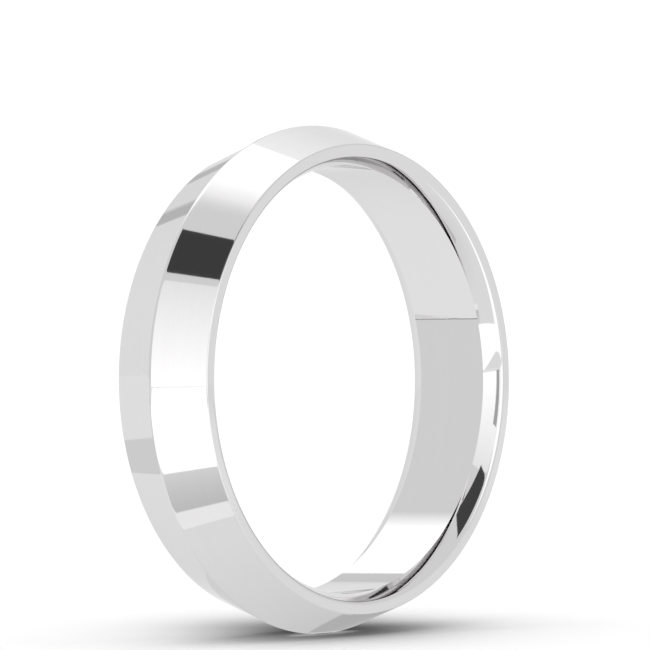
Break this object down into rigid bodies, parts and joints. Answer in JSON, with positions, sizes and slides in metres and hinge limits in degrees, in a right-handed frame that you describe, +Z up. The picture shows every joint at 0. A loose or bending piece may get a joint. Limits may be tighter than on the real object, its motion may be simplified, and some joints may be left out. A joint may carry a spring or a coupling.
{
  "type": "wedding band",
  "caption": "Plain knife-edge wedding band: two polished bevels meeting in a softened ridge, narrow flat side faces and a rounded comfort-fit bore.",
  "frame": {"origin": "centre of the finger bore, halfway between the two side faces", "axes": "+Y along the finger axis towards the back side face, +Z up with the band standing on its ridge, +X across"},
  "size_m": [0.022, 0.005, 0.022],
  "materials": {
    "white_gold": "mirror polished white gold with a bright white plating",
    "gold_solder": "polished white gold solder, a little duller than the band"
  },
  "bodies": {
    "root": {"band": "white_gold", "solder_seam": "gold_solder"}
  },
  "joints": []
}
